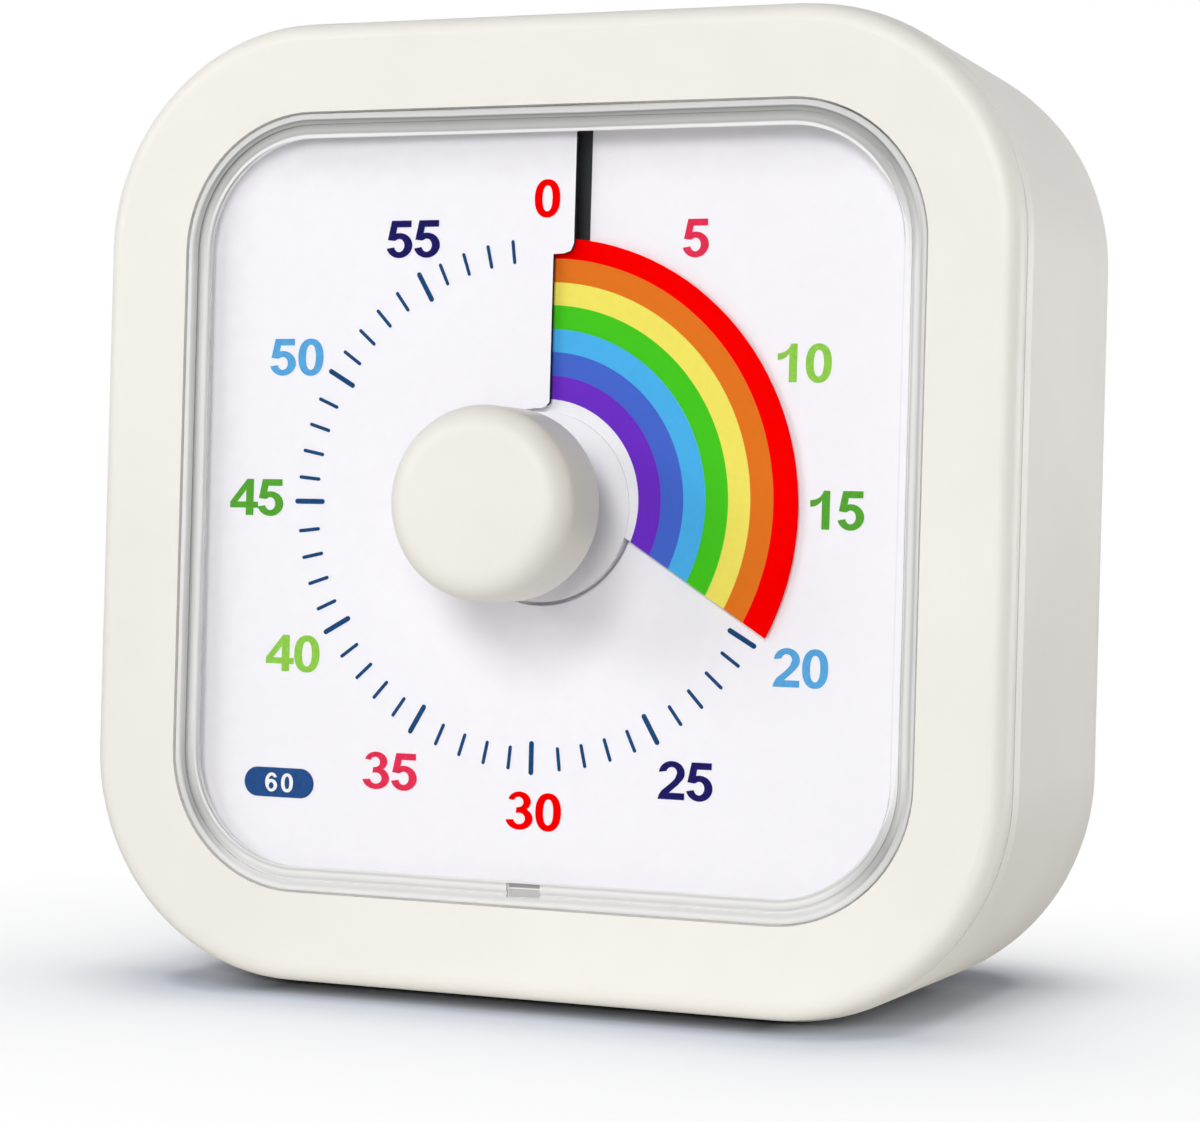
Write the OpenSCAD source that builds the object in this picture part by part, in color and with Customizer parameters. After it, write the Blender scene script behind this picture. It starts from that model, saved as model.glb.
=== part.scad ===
// Visual countdown timer: square case, clear window, stepped dial with a slit, rainbow disc that
// comes out of the slit as the knob is turned, quartz movement, one AA cell.
// Axes: X to the right, Y from the front towards the back, Z up. Depths are counted from the
// front face of the case. Clock angles go clockwise from twelve, seen from the front.

/* [Case] */
// Width and height of the square case
case_w = 90; // [81:1:100]
// Depth of the case, front face to back face
case_d = 38; // [38:1:46]
// Corner radius of the case seen from the front
corner_r = 21.2; // [20:0.1:24]
// Rounding of the front edge
front_round = 1.7; // [1.2:0.1:2]
// Rounding of the rear edge
rear_round = 7; // [5:0.5:8]
// Wall thickness of the case
wall = 2; // [1.6:0.1:2.2]
// Depth of the joint between bezel and rear shell
joint_y = 2.6; // [2.6:0.1:3.2]
// Width of the visible groove at the joint
groove_w = 0.3; // [0.2:0.05:0.5]
// Step between bezel and rear shell at the joint
joint_step = 0.3; // [0.2:0.05:0.4]
// Fall of the front face towards the window
dish_d = 0.6; // [0.4:0.1:0.8]

/* [Window] */
// Width of the bezel beside the window
frame_w = 8.6; // [7.8:0.1:9.2]
// Corner radius of the opening
window_r = 12.9; // [11:0.1:15]
// Width of the clear rim around the dial
rim_w = 2.15; // [1.8:0.05:2.6]
// Thickness of the clear front plate
lens_t = 0.5; // [0.5:0.1:0.8]
// Recess of the window behind the front face
lens_recess = 0.8; // [0.8:0.1:1.2]

/* [Dial] */
// Rise of the spiral card over one turn
pitch = 1.4; // [1.3:0.05:1.6]
// Thickness of the dial card
card_t = 0.4; // [0.3:0.05:0.45]
// Thickness of the rainbow film
film_t = 0.25; // [0.2:0.05:0.3]
// Width of the dial outside the rainbow film
film_margin = 9.5; // [9.2:0.05:12]
// Radius of the hole in the card that the hub passes through
hole_r = 9; // [8.5:0.1:9.5]
// Width of the slit in the card
slit_w = 1; // [0.8:0.1:1.6]
// Minutes set at rest
set_min = 20; // [0:1:60]

/* [Knob] */
// Diameter of the knob
knob_d = 17.2; // [15:0.2:20]
// Length of the knob's cap
knob_len = 8.4; // [7:0.1:10]
// Reach of the knob in front of the case
knob_reach = 12.7; // [11:0.1:15]
// Rounding of the knob's front edge
knob_round = 2.4; // [1:0.1:3]
// Diameter of the spindle
spindle_d = 6; // [5:0.1:6.4]

/* [Movement] */
// Distance of the movement from the sides of the case
side_gap = 17; // [16:0.5:18]
// Distance of the movement from the top of the case
top_gap = 15; // [14:0.5:16]
// Depth of the movement case
move_d = 15; // [15:0.5:17]
// Wall thickness of the movement case
move_wall = 1.5; // [1.2:0.1:1.6]
// Gear module
gear_m = 0.3; // [0.28:0.01:0.3]

/* [Battery] */
// Diameter of the cell
cell_d = 14.5; // [14:0.1:14.6]
// Length of the cell with its nub
cell_l = 50.5; // [49:0.5:51]
// Height of the cell above the base
cell_up = 17; // [16.8:0.1:17.4]
// Thickness of the battery door
door_t = 1.8; // [1.5:0.1:2]

/* [Fits] */
// Gap between plastic pieces that are put together
fit = 0.2; // [0.15:0.05:0.3]
// Radial gap of a shaft in its bore
run = 0.05; // [0.03:0.01:0.08]
// Free gap between faces that pass each other
air = 0.35; // [0.3:0.01:0.4]

/* [Hidden] */
$fn = 96;
eps = 0.01;
half = case_w / 2;
front_y = (knob_reach - case_d) / 2;         // front face in the shared frame
back_in = case_d - wall;                     // inside of the back wall
win_h = half - frame_w;                      // half width of the window opening
dish_w = frame_w - joint_step - front_round; // the fall starts at the rounded front edge
lip_w = 2;                                   // rail of the bezel around the window
lens_h = win_h - fit;
lens_r = window_r - fit;
dial_h = lens_h - rim_w;                     // half width of the visible dial
dial_r = lens_r - rim_w;
film_r = dial_h - film_margin;
lens_back = lens_recess + lens_t;
rim_back = lens_back + 0.4;                  // back of the rim, in front of the card's edge
tray_t = 0.8;                                // wall of the tray behind its rim
card_h = lens_h - tray_t - fit / 2;          // half width of the card, which ends under the rim
card_r = lens_r - tray_t - fit / 2;
hub_r = hole_r - air;
bezel_h = half - joint_step;
bezel_r = corner_r - joint_step;
film_step = film_t + (pitch - card_t - film_t) / 2;
flap_y = lens_back + 0.2 + film_step;        // card at the slit's high side
card_y0 = flap_y + pitch;                    // card at the slit's low side
plate_y = card_y0 + card_t + (pitch - card_t - film_t) / 2 + film_t + air;
plate_t = 2;
plate_back = plate_y + plate_t;
flange_t = 1.2;
turn = 6 * set_min;                          // clock angle of the setting
drum_y = card_y0 - pitch * turn / 360 - film_step;
drum_t = pitch + film_t + 0.15;
sp_r = spindle_d / 2;
knob_r = knob_d / 2;
boss_c = (half - corner_r) + (corner_r - 4.8) * sqrt(0.5);  // screw posts at the corners
move_back = plate_back + move_d;
rib_in = half - 2 * wall - 1.8;              // ribs that hold the chassis plate against the bezel
cell_r = cell_d / 2;
cell_y = back_in - 2.6 - cell_r;
cell_z = cell_up - half;
bay_x = cell_l / 2 + 2.2;
bay_z = cell_r + 1;
bay_wall = 1.2;
bay_y = cell_y - cell_r - 0.8;
door_x = bay_x + 1.4;
door_z = bay_z + 1;
lug_x = door_x - 12.85;                      // lugs that hook the door under the case
move_w = case_w - 2 * side_gap;
move_up = half - top_gap;
move_down = -cell_z - bay_z - bay_wall - 0.55;  // the movement stops above the battery bay
buzz = [18, 20];
buzz_r = 11;
sw = [-20, 20];
wheel_1 = 64;                                // teeth: centre wheel
wheel_2 = 60;                                // teeth: third wheel
leaf = 8;                                    // teeth: pinions
arm_1 = gear_m * (wheel_1 + leaf) / 2;
arm_2 = gear_m * (wheel_2 + leaf) / 2;
dir_1 = 30;                                  // directions from each arbor to the next
dir_2 = 120;
dir_3 = 150;
axle_3 = arm_1 * [cos(dir_1), sin(dir_1)];
axle_4 = axle_3 + arm_2 * [cos(dir_2), sin(dir_2)];
level_1 = plate_back + move_wall + 1.4;      // depth of the centre wheel
wheel_t = 0.8;
level_2 = level_1 + 2.6;
level_3 = level_2 + 2.4;
wheel_4 = 20;                                // teeth: small wheel on the fourth arbor
arm_3 = gear_m * (wheel_4 + leaf) / 2;
axle_5 = axle_4 + arm_3 * [cos(dir_3), sin(dir_3)];
turn_3 = mesh_turn(dir_1, 0, wheel_1);       // leaf positions that leave the teeth in mesh at rest
turn_4 = mesh_turn(dir_2, turn_3, wheel_2);
turn_5 = mesh_turn(dir_3, turn_4, wheel_4);
function mesh_turn(dir, other, teeth) = dir + 180 - 360 / leaf * (0.5 - (dir - other) * teeth / 360);
post_in = 2.6;                               // screw posts, inset from the outside of the movement
post_r = 2.4;
move_posts = [for (x = [-1, 1], z = [post_in - move_down, move_up - post_in])
                 [x * (move_w / 2 - post_in), z]];
board = [10.4, 12.5];                        // circuit board: width, height, lower left corner
board_c = [-move_w / 2 + move_wall + 0.3, -move_down + post_in + post_r + 0.3];
board_y = plate_back + 4;
board_t = 0.8;
board_posts = [for (x = [1.6, board[0] - 1.6], z = [1.5, board[1] - 2]) board_c + [x, z]];
leg = 2.6;                                   // stator: width of its legs, outline, lower left corner
yoke_c = [-move_w / 2 + 6, axle_5[1] - 5.7];
yoke = [axle_5[0] - yoke_c[0] + leg, 13.2];
stator_posts = [for (z = [leg / 2, yoke[1] - leg / 2]) yoke_c + [yoke[0] * 0.42, z]];
screw_seat = case_d - 18;                    // where the heads of the case screws rest

// ---------- drawing helpers ----------
module place() { translate([0, front_y, half]) children(); }

// flat outline seen from the front, between two depths
module slab(y0, y1) { translate([0, y1, 0]) rotate([90, 0, 0]) linear_extrude(y1 - y0) children(); }

module rod(c, r, y0, y1) { translate([c[0], y1, c[1]]) rotate([90, 0, 0]) cylinder(h = y1 - y0, r = r); }

module box(x0, x1, y0, y1, z0, z1) { translate([x0, y0, z0]) cube([x1 - x0, y1 - y0, z1 - z0]); }

// outline drawn as (radius, depth), turned about the spindle axis
module lathe(c = [0, 0]) { translate([c[0], 0, c[1]]) rotate([-90, 0, 0]) rotate_extrude() children(); }

module round_sq(h, r) {
    square([2 * h, 2 * (h - r)], center = true);
    square([2 * (h - r), 2 * h], center = true);
    for (x = [-1, 1], y = [-1, 1]) translate([x, y] * (h - r)) circle(r);
}

// side view of half a loaf: front edge bevelled or rounded, rear edge rounded
module half_pane(w, y0, y1, rf, rr, bevel) {
    polygon([[0, y0], [w - (rf > 0 ? rf : bevel[0]), y0], [w, y0 + (rf > 0 ? rf : bevel[1])],
             [w, y1 - rr], [w - rr, y1], [0, y1]]);
    if (rf > 0) translate([w - rf, y0 + rf]) intersection() {
        circle(rf);
        translate([0, -rf]) square(rf);
    }
    if (rr > 0) translate([w - rr, y1 - rr]) intersection() {
        circle(rr);
        square(rr);
    }
}

// rounded square block with rounded edges
module loaf(h, rc, y0, y1, rf = 0, rr = 0, bevel = [0, 0]) {
    s = h - rc;
    for (x = [-1, 1], z = [-1, 1]) lathe([x, z] * s) half_pane(rc, y0, y1, rf, rr, bevel);
    translate([0, 0, -s]) linear_extrude(2 * s)
        for (m = [0, 1]) mirror([m, 0]) half_pane(h, y0, y1, rf, rr, bevel);
    rotate([0, 90, 0]) translate([0, 0, -s]) linear_extrude(2 * s)
        for (m = [0, 1]) mirror([m, 0]) half_pane(h, y0, y1, rf, rr, bevel);
}

// ---------- spiral sheets ----------
// point at radius r and clock angle a
function at(r, a, y) = [r * sin(a), y, r * cos(a)];
function spiral_y(y0, a) = y0 - pitch * a / 360;
function lean(x, r) = asin(x / r);

// sheet between start and stop angles, one pair for each radius; back face parallel or flat
module spiral(rad, start, stop, y0, t, flat_y = undef, n = 120) {
    m = len(rad);
    ang = [for (i = [0:n]) [for (j = [0:m - 1]) start[j] + (stop[j] - start[j]) * i / n]];
    front = [for (i = [0:n], j = [0:m - 1])
                at(edge_r(rad[j], ang[i][j]), ang[i][j], spiral_y(y0, ang[i][j]))];
    back = [for (p = front) [p[0], is_undef(flat_y) ? p[1] + t : flat_y, p[2]]];
    k = (n + 1) * m;
    e = m - 1;
    polyhedron(points = concat(front, back), faces = concat(
        [for (i = [0:n - 1], j = [0:m - 2]) let (p = i * m + j, q = p + m) each quad(p, p + 1, q + 1, q)],
        [for (i = [0:n - 1], j = [0:m - 2]) let (p = k + i * m + j, q = p + m) each quad(p, q, q + 1, p + 1)],
        [for (i = [0:n - 1]) let (p = i * m, q = p + m) each quad(p, q, k + q, k + p)],
        [for (i = [0:n - 1]) let (p = i * m + e, q = p + m) each quad(q, p, k + p, k + q)],
        [for (j = [0:m - 2]) each quad(j + 1, j, k + j, k + j + 1)],
        [for (j = [0:m - 2]) let (p = n * m + j) each quad(p, p + 1, k + p + 1, k + p)]));
}
function quad(a, b, c, d) = [[a, b, c], [a, c, d]];

// a radius below zero stands for the rounded square border of the card, inset by that amount
function edge_r(r, a) = r >= 0 ? r : square_r(card_h + r, card_r + r, a);
function square_r(h, c, a) =
    let (u = abs(sin(a)), v = abs(cos(a)), s = h - c, hi = max(u, v), lo = min(u, v))
    h * lo / hi <= s ? h / hi : s * (u + v) + sqrt(pow(s * (u + v), 2) - 2 * s * s + c * c);

// ---------- gears ----------
module gear_2d(z, a = 0) {
    r = gear_m * z / 2;
    circle(r - gear_m * 1.25);
    for (i = [0:z - 1]) rotate(360 * i / z + a)
        polygon([[r - gear_m * 1.5, -gear_m * 0.85], [r, -gear_m * 0.56], [r + gear_m * 0.8, -gear_m * 0.22],
                 [r + gear_m * 0.8, gear_m * 0.22], [r, gear_m * 0.56], [r - gear_m * 1.5, gear_m * 0.85]]);
}

module wheel(z, y, a = 0, spokes = 5) {
    r = gear_m * z / 2;
    slab(y, y + wheel_t) difference() {
        gear_2d(z, a);
        if (spokes > 0) for (i = [0:spokes - 1])
            rotate(360 * i / spokes + 18) translate([r * 0.56, 0]) circle(r * 0.22);
    }
}

module screw(c, seat, tip, r, head_r, head_t) {
    rod(c, r, tip + r, seat);
    lathe(c) polygon([[0, tip], [r * 0.5, tip], [r, tip + r], [0, tip + r]]);
    difference() {
        rod(c, head_r, seat, seat + head_t);
        for (a = [0, 90]) translate([c[0], seat + head_t, c[1]]) rotate([0, a, 0])
            cube([head_r * 1.3, head_t, head_r * 0.32], center = true);
    }
}

// ---------- housing ----------
module front_bezel() color("#f4f1ea") place() {
    difference() {
        union() {
            difference() {
                loaf(bezel_h, bezel_r, 0, joint_y, rf = front_round);
                slab(joint_y - groove_w, joint_y + 1) difference() {
                    round_sq(bezel_h + 1, bezel_r + 1);
                    round_sq(bezel_h - 0.8, bezel_r - 0.8);
                }
            }
            slab(joint_y, plate_y - fit) difference() {
                round_sq(half - wall - fit, corner_r - wall - fit);
                round_sq(half - 2 * wall + fit, corner_r - 2 * wall + fit);
            }
            slab(joint_y, plate_y - flange_t) round_sq(win_h + lip_w, window_r + lip_w);
            for (x = [-1, 1], z = [-1, 1]) rod([x, z] * boss_c, 3, joint_y - eps, plate_back + fit);
        }
        slab(-1, plate_y + 1) round_sq(win_h, window_r);
        mirror([0, 1, 0]) loaf(win_h + dish_w, window_r + dish_w, -dish_d, eps, bevel = [dish_w, dish_d]);
        for (x = [-1, 1], z = [-1, 1]) rod([x, z] * boss_c, 1.2 + run, 1.4, plate_back + 1);
    }
}

module rear_shell() color("#f0ede6") place() difference() {
    union() {
        difference() {
            loaf(half, corner_r, joint_y, case_d, rr = rear_round, bevel = [joint_step, 0.8]);
            loaf(half - wall, corner_r - wall, joint_y - 1, back_in, rr = rear_round - wall);
        }
        intersection() {
            loaf(half - 0.3, corner_r - 0.3, joint_y + 1, case_d - 0.3, rr = rear_round - 0.3);
            union() {
                for (x = [-1, 1], z = [-1, 1]) rod([x, z] * boss_c, 4.2, plate_back + 2 * fit, case_d);
                for (m = [0, 1], c = [-12, 12]) {
                    mirror([m, 0, 0]) box(rib_in, half, plate_back, case_d, c - 0.8, c + 0.8);
                    mirror([0, 0, m]) box(c * 1.6 - 0.8, c * 1.6 + 0.8, plate_back, case_d, rib_in, half);
                }
                // battery bay
                box(-bay_x - bay_wall, bay_x + bay_wall, bay_y - bay_wall, case_d,
                    cell_z - bay_z - bay_wall, cell_z + bay_z + bay_wall);
                // ring that holds the buzzer and rails for the switch
                rod(buzz, buzz_r + 1.4, back_in - 4, case_d);
                box(sw[0] - 8, sw[0] + 8, back_in - 4, case_d, sw[1] - 5, sw[1] + 5);
            }
        }
    }
    // inside of the bay, and the opening of its door
    difference() {
        box(-bay_x, bay_x, bay_y, case_d + 1, cell_z - bay_z, cell_z + bay_z);
        for (m = [-1, 1]) translate([m * cell_l * 0.3, 0, 0]) difference() {
            box(-1, 1, bay_y - 1, cell_y - 3, cell_z - bay_z - 1, cell_z + bay_z + 1);
            translate([-2, cell_y, cell_z]) rotate([0, 90, 0]) cylinder(h = 4, r = cell_r);
        }
    }
    box(-door_x, door_x, case_d - door_t, case_d + 1, cell_z - door_z, cell_z + door_z);
    for (m = [-1, 1]) translate([m * lug_x, 0, cell_z - door_z])
        box(-4, 4, case_d - door_t - 1.4, case_d - door_t + eps, -1.6, 3);
    // case screws
    for (x = [-1, 1], z = [-1, 1]) {
        rod([x, z] * boss_c, 1.2 + fit, plate_back, case_d);
        rod([x, z] * boss_c, 2.8, screw_seat, case_d + 1);
    }
    // buzzer seat and sound holes
    rod(buzz, buzz_r + fit, back_in - 6, back_in);
    rod(buzz, 0.9, back_in - 1, case_d + 1);
    for (a = [0:60:300]) rod(buzz + 4 * [cos(a), sin(a)], 0.9, back_in - 1, case_d + 1);
    // switch seat, its slot and the shallow finger recess around it
    box(sw[0] - 6 - fit, sw[0] + 6 + fit, back_in - 6, back_in, sw[1] - 3 - fit, sw[1] + 3 + fit);
    box(sw[0] - 4, sw[0] + 4, back_in - 1, case_d + 1, sw[1] - 1.5, sw[1] + 1.5);
    box(sw[0] - 6, sw[0] + 6, case_d - 1, case_d + 1, sw[1] - 3, sw[1] + 3);
}

module lens() color("#dfe6e8") place() difference() {
    union() {
        slab(lens_recess, plate_y) round_sq(lens_h, lens_r);
        slab(plate_y - flange_t, plate_y) intersection() {
            round_sq(win_h + 1.8, lens_r + 5.6);
            square(2 * (win_h + 1.8), center = true);
        }
    }
    slab(lens_back, plate_y) round_sq(dial_h, dial_r);
    slab(rim_back, plate_y + 1) round_sq(lens_h - tray_t, lens_r - tray_t);
    rod([0, 0], sp_r + 0.4, lens_recess - 1, lens_back + 1);
    // two fine steps along the rim and the gate mark at the bottom
    slab(lens_recess - 1, lens_recess + 0.25) difference() {
        round_sq(dial_h + rim_w * 0.55, dial_r + rim_w * 0.55);
        round_sq(dial_h + rim_w * 0.4, dial_r + rim_w * 0.4);
    }
    box(-1.65, 1.65, lens_recess - 1, lens_recess + 0.5, -dial_h - rim_w * 0.66, -dial_h - 0.1);
}

// ---------- dial ----------
flap_r = film_r - 1.55;                      // radius where the flap steps out beside the slit
flap_rad = [hole_r, hole_r + 0.2, hole_r + 0.55, flap_r, flap_r + 0.1, flap_r + 0.4, flap_r + 1.1, -eps];
flap_x = [0, 0.4, 0.75, 0.75, 1.8, 2.45, 2.75, 2.75];
function slit_angle(j, extra) = lean(flap_x[j] + extra, flap_rad[j] > 0 ? flap_rad[j] : card_h);

module dial_card() color("#f8f7fd") place()
    spiral(flap_rad, [for (j = [0:7]) slit_angle(j, slit_w)], [for (j = [0:7]) 360 + slit_angle(j, 0)],
           card_y0, card_t);

ramp_r = film_r + 0.8;                       // the ramp leaves room for the film inside this radius
module dial_ramp() color("#eceef2") place()
    spiral([ramp_r, -eps], [for (r = [ramp_r, card_h]) lean(4.3, r)],
           [for (r = [ramp_r, card_h]) 360 + lean(1.2, r)],
           card_y0 + card_t + 0.05, 1, flat_y = plate_y);

// how far the film's straight edge lags at hub and rim
lead = [for (r = [hub_r + eps, film_r]) lean(2.24, r) - 2.4];

module rainbow_film() color("#ff0000") place()
    spiral([hub_r + eps, film_r], [for (a = lead) turn - 360 - a], [for (a = lead) turn - a],
           card_y0 - film_step, film_t);

module film_hub() color("#f7f6fb") place() difference() {
    union() {
        rod([0, 0], hub_r, drum_y, drum_y + drum_t);
        rod([0, 0], sp_r + 1.2, drum_y, plate_back - pitch - 0.05);
    }
    rod([0, 0], sp_r + run, drum_y - 1, plate_back);
    box(-0.8, 0.8, drum_y - 1, plate_back, sp_r - 1, sp_r + 0.65);
}

// ---------- knob and spindle ----------
module knob() color("#f3f0e8") place() difference() {
    union() {
        lathe() half_pane(knob_r, -knob_reach, knob_len - knob_reach, knob_round, 0.3, [0, 0]);
        rod([0, 0], sp_r + 2.6, knob_len - knob_reach - eps, lens_recess - 0.4);
    }
    rod([0, 0], sp_r + run, knob_len - knob_reach - 3.5, lens_recess);
}

module spindle() color("#d9dade") place() {
    rod([0, 0], sp_r, knob_len - knob_reach - 3.5, level_1 + wheel_t + 0.6);
    box(-0.7, 0.7, lens_back + 0.3, plate_back - 0.2, 0, sp_r + 0.5);
    rod([0, 0], sp_r + 1.2, plate_back + move_wall + 0.3, level_1);
    rod([0, 0], 1, level_1, move_back - 0.4);
}

module centre_wheel() color("#e8e4d2") place() difference() {
    union() {
        wheel(wheel_1, level_1);
        rod([0, 0], sp_r + 1.4, level_1, level_1 + wheel_t);
    }
    rod([0, 0], sp_r + run, level_1 - 1, level_1 + wheel_t + 1);
}

module clutch_spring() color("#c9a24a") place() difference() {
    slab(level_1 + wheel_t, level_1 + wheel_t + 0.3) {
        circle(sp_r + 1);
        for (a = [0:120:240]) rotate(a) translate([0, -0.7]) square([sp_r + 2.8, 1.4]);
    }
    rod([0, 0], sp_r + run, level_1, level_1 + wheel_t + 1);
}

module arbor(c, first, last) { rod(c, 0.5, first, last); }

module third_wheel() color("#e8e4d2") place() {
    translate([axle_3[0], 0, axle_3[1]]) {
        wheel(wheel_2, level_2, turn_3);
        slab(level_1 - 0.4, level_2) gear_2d(leaf, turn_3);
    }
    arbor(axle_3, plate_back + 0.5, move_back - 0.4);
}

module fourth_wheel() color("#e8e4d2") place() {
    translate([axle_4[0], 0, axle_4[1]]) {
        wheel(wheel_4, level_3, turn_4, spokes = 0);
        slab(level_2 - 0.4, level_3) gear_2d(leaf, turn_4);
    }
    arbor(axle_4, plate_back + 0.5, move_back - 0.4);
}

module rotor() color("#55585c") place() {
    translate([axle_5[0], 0, axle_5[1]]) slab(level_3 - 0.3, level_3 + 1.1) gear_2d(leaf, turn_5);
    rod(axle_5, 1.5, plate_back + 3.6, plate_back + 5.4);
    arbor(axle_5, plate_back + 0.5, move_back - 0.4);
}

// ---------- movement ----------
module chassis_plate() color("#dcdcdc") place() difference() {
    slab(plate_y, plate_back) round_sq(half - 2 * wall, corner_r - 2 * wall);
    for (x = [-1, 1], z = [-1, 1]) rod([x, z] * boss_c, 3 + fit, plate_y - 1, plate_back + 1);
    rod([0, 0], sp_r + 1.2 + air, plate_y - 1, plate_back + 1);
    for (c = move_posts) rod(c, 0.9 + run, plate_y + 0.4, plate_back + 1);
}

module move_outline(inset) translate([-move_w / 2 + inset, -move_down + inset])
    square([move_w - 2 * inset, move_up + move_down - 2 * inset]);

module movement_front() color("#f2f2f0") place() difference() {
    union() {
        difference() {
            slab(plate_back, plate_back + 9) move_outline(0);
            slab(plate_back + move_wall, plate_back + 10) move_outline(move_wall);
        }
        for (c = move_posts) rod(c, 2.4, plate_back + 1, plate_back + 9);
        rod(axle_3, 1.4, plate_back + 1, level_1 - 0.8);
        rod(axle_4, 1.4, plate_back + 1, level_1);
        rod(axle_5, 1.4, plate_back + 1, plate_back + 3.2);
        for (c = board_posts) {
            rod(c, 1.2, plate_back + 1, board_y);
            rod(c, 0.45, board_y - 1, board_y + board_t + 0.3);
        }
        for (c = stator_posts) rod(c, 1, plate_back + 1, board_y);
    }
    rod([0, 0], sp_r + run, plate_back - 1, plate_back + 3);
    for (c = [axle_3, axle_4, axle_5]) rod(c, 0.5 + run, plate_back + 0.4, plate_back + 9);
    for (c = move_posts) rod(c, 0.9 + 2 * run, plate_back - 1, plate_back + 10);
}

module movement_rear() color("#e9e9e6") place() difference() {
    union() {
        difference() {
            slab(plate_back + 9, move_back) move_outline(0);
            slab(plate_back + 8, move_back - move_wall) move_outline(move_wall);
        }
        for (c = move_posts) rod(c, 2.4, plate_back + 9, move_back - 1);
        for (c = [[0, 0], axle_3, axle_4, axle_5]) rod(c, 2, move_back - move_wall - 1.2, move_back - 1);
    }
    rod([0, 0], 1 + run, move_back - 3.5, move_back - 0.35);
    for (c = [axle_3, axle_4, axle_5]) rod(c, 0.5 + run, move_back - 3.5, move_back - 0.35);
    for (c = move_posts) rod(c, 0.9 + 2 * run, plate_back, move_back + 1);
}

module movement_screws() color("#9a9da1") place()
    for (c = move_posts) screw(c, move_back, plate_y + 0.5, 0.9, 1.8, 1.1);

module case_screws() color("#9a9da1") place()
    for (x = [-1, 1], z = [-1, 1]) screw([x, z] * boss_c, screw_seat, 2, 1.2, 2.4, 1.8);

module circuit_board() color("#2f7d46") place() difference() {
    slab(board_y, board_y + board_t) translate(board_c) square(board);
    for (c = board_posts) rod(c, 0.45 + run, board_y - 1, board_y + 2);
}

module timer_chip() color("#1c1c1e") place()
    translate([board_c[0] + board[0] / 2, board_y + board_t, board_c[1] + 4.6])
        lathe() polygon([[0, 0], [3, 0], [2.6, 0.6], [0, 0.9]]);

module quartz_crystal() color("#c8ccd0") place()
    translate([board_c[0] + 2.2, board_y + board_t + 1, board_c[1] + board[1] - 3.6]) rotate([0, 90, 0])
        cylinder(h = board[0] - 4.4, r = 1);

module stator() color("#8f9397") place() slab(board_y, board_y + 1) difference() {
    translate(yoke_c) square(yoke);
    translate(yoke_c + [leg, leg]) square(yoke - [leg + 6.2, 2 * leg]);
    translate(axle_5) circle(1.9);
}

// wound on the left leg of the stator
module motor_coil() color("#b4552d") place() translate([yoke_c[0] + leg / 2, board_y + 0.5, yoke_c[1]])
    difference() {
        translate([0, 0, leg + 0.1]) cylinder(h = yoke[1] - 2 * leg - 0.2, r = 2.7);
        box(-leg / 2 - run, leg / 2 + run, -0.5 - run, 0.5 + run, 0, yoke[1]);
    }

// ---------- sound and power ----------
module buzzer() color("#2a2a2c") place() difference() {
    rod(buzz, buzz_r, back_in - 3.4, back_in);
    rod(buzz, 2, back_in - 4, back_in - 1.4);
}

module switch_body() color("#3a3b3e") place() difference() {
    box(sw[0] - 6, sw[0] + 6, back_in - 3.6, back_in, sw[1] - 3, sw[1] + 3);
    box(sw[0] - 4.6, sw[0] + 4.6, back_in - 1.6, back_in + 1, sw[1] - 1.9, sw[1] + 1.9);
}

module sound_switch() color("#4a4b50") place() {
    box(sw[0] - 2.4, sw[0] + 2.4, back_in - 1.5, back_in - 0.2, sw[1] - 1.6, sw[1] + 1.6);
    box(sw[0] - 1.6, sw[0] + 1.6, back_in - 0.3, case_d - 0.2, sw[1] - 1.2, sw[1] + 1.2);
}

module aa_cell() color("#3c6e57") place() translate([0, cell_y, cell_z]) rotate([0, 90, 0]) {
    translate([0, 0, -cell_l / 2]) cylinder(h = cell_l - 1, r = cell_r);
    translate([0, 0, cell_l / 2 - 1 - eps]) cylinder(h = 1 + eps, r = 2.7);
}

module contact_positive() color("#c9ccd0") place() {
    box(bay_x - 0.4, bay_x, cell_y - 6, cell_y + 6, cell_z - 5, cell_z + 5);
    translate([cell_l / 2, cell_y, cell_z]) rotate([0, 90, 0]) cylinder(h = bay_x - cell_l / 2 - 0.3, r = 2);
}

module contact_negative() color("#c9ccd0") place() {
    box(-bay_x, -bay_x + 0.4, cell_y - 6, cell_y + 6, cell_z - 5, cell_z + 5);
    translate([0, 0, cell_z - 2]) linear_extrude(4) difference() {
        translate([-cell_l / 2 - 5, cell_y]) circle(5);
        translate([-cell_l / 2 - 5, cell_y]) circle(4.6);
        translate([-cell_l / 2 - 12 - (bay_x - cell_l / 2 - 0.2), cell_y - 6]) square(12);
    }
}

module battery_door() color("#f0ede6") place() difference() {
    union() {
        box(-door_x + fit, door_x - fit, case_d - door_t, case_d,
            cell_z - door_z + fit, cell_z + door_z - fit);
        for (m = [-1, 1]) translate([m * lug_x, 0, cell_z - door_z])
            box(-3.6, 3.6, case_d - door_t - 1.1, case_d - door_t + eps, -1.1, 2.6);
    }
    for (i = [0:3]) box(-6, 6, case_d - 0.4, case_d + 1, cell_z + 3 + 1.6 * i, cell_z + 3.8 + 1.6 * i);
}

front_bezel();
rear_shell();
lens();
dial_card();
dial_ramp();
rainbow_film();
film_hub();
knob();
spindle();
centre_wheel();
clutch_spring();
third_wheel();
fourth_wheel();
rotor();
chassis_plate();
movement_front();
movement_rear();
movement_screws();
case_screws();
circuit_board();
timer_chip();
quartz_crystal();
stator();
motor_coil();
buzzer();
switch_body();
sound_switch();
aa_cell();
contact_positive();
contact_negative();
battery_door();
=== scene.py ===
"""Looks of the visual countdown timer: materials of the CAD nodes, print on the dial, studio and camera."""

import math

import bpy
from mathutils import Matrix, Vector
from mathutils.geometry import tessellate_polygon


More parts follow.
